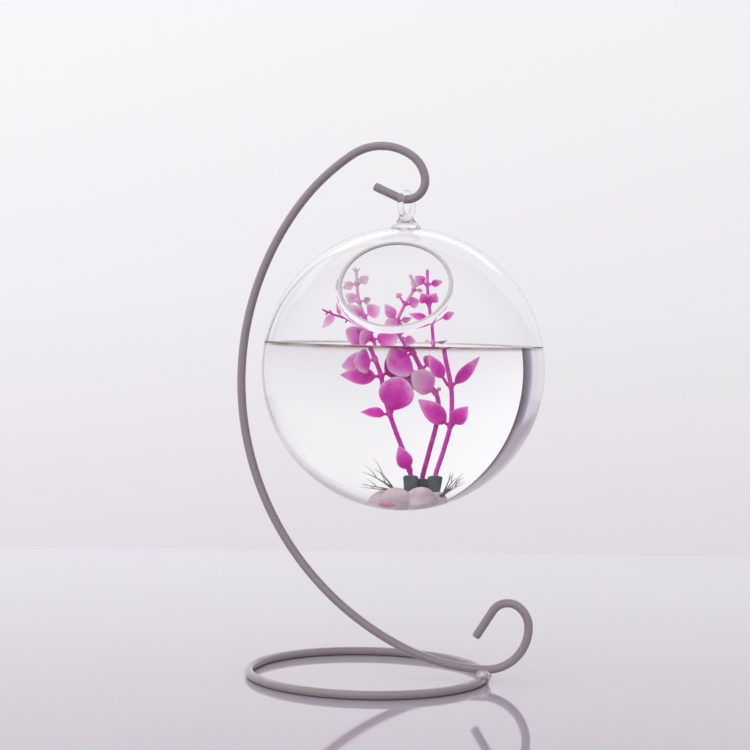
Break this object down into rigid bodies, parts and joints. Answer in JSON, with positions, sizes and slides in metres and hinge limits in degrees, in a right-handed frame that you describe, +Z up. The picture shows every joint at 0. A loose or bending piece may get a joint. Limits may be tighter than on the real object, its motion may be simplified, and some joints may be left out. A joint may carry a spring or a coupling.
{
  "type": "hanging glass globe vase",
  "caption": "Clear glass globe with an open round mouth and a hanging loop, hung on the hook of a curled wire stand, with a plastic water plant inside.",
  "frame": {"origin": "on the table, at the middle of the outline seen from above", "axes": "+Z up; the stand's arm lies in the X-Z plane with its scroll towards +X; the globe's mouth looks towards -Y"},
  "size_m": [0.166, 0.1498, 0.2851],
  "materials": {
    "rod_paint": "satin powder coat, warm grey-lilac",
    "weld": "painted weld bead",
    "clear_glass": "clear blown glass, polished",
    "cast_rock": "matte cast cobbles, grey-mauve",
    "socket_plastic": "moulded dark green plastic",
    "stem_plastic": "moulded purple plastic",
    "leaf_plastic": "soft moulded plastic, magenta with pale tips",
    "grass_plastic": "pale moulded plastic blades"
  },
  "bodies": {
    "stand": {"stand_arm": "rod_paint", "base_ring": "rod_paint", "weld_bead": "weld"},
    "globe": {"glass_globe": "clear_glass", "hanging_loop": "clear_glass", "rock_base": "cast_rock", "stem_socket_a": "socket_plastic", "stem_socket_b": "socket_plastic", "stem_socket_c": "socket_plastic", "stem_a": "stem_plastic", "stem_b": "stem_plastic", "stem_c": "stem_plastic", "leaves_a1": "leaf_plastic", "leaves_a2": "leaf_plastic", "leaves_a3": "leaf_plastic", "leaves_a4": "leaf_plastic", "leaves_a5": "leaf_plastic", "leaves_a6": "leaf_plastic", "leaves_a7": "leaf_plastic", "leaves_a8": "leaf_plastic", "leaves_a9": "leaf_plastic", "leaves_b1": "leaf_plastic", "leaves_b2": "leaf_plastic", "leaves_b3": "leaf_plastic", "leaves_b4": "leaf_plastic", "leaves_b5": "leaf_plastic", "leaves_b6": "leaf_plastic", "leaves_b7": "leaf_plastic", "leaves_c1": "leaf_plastic", "leaves_c2": "leaf_plastic", "leaves_c3": "leaf_plastic", "leaves_c4": "leaf_plastic", "leaves_c5": "leaf_plastic", "leaves_c6": "leaf_plastic", "grass_left": "grass_plastic", "grass_right": "grass_plastic"}
  },
  "joints": [
    {"name": "globe_swing", "type": "hinge", "parent": "stand", "child": "globe", "pos_m": [0.00815, 0, 0.2547], "axis": [1, 0, 0], "range_deg": [-35, 35]}
  ]
}
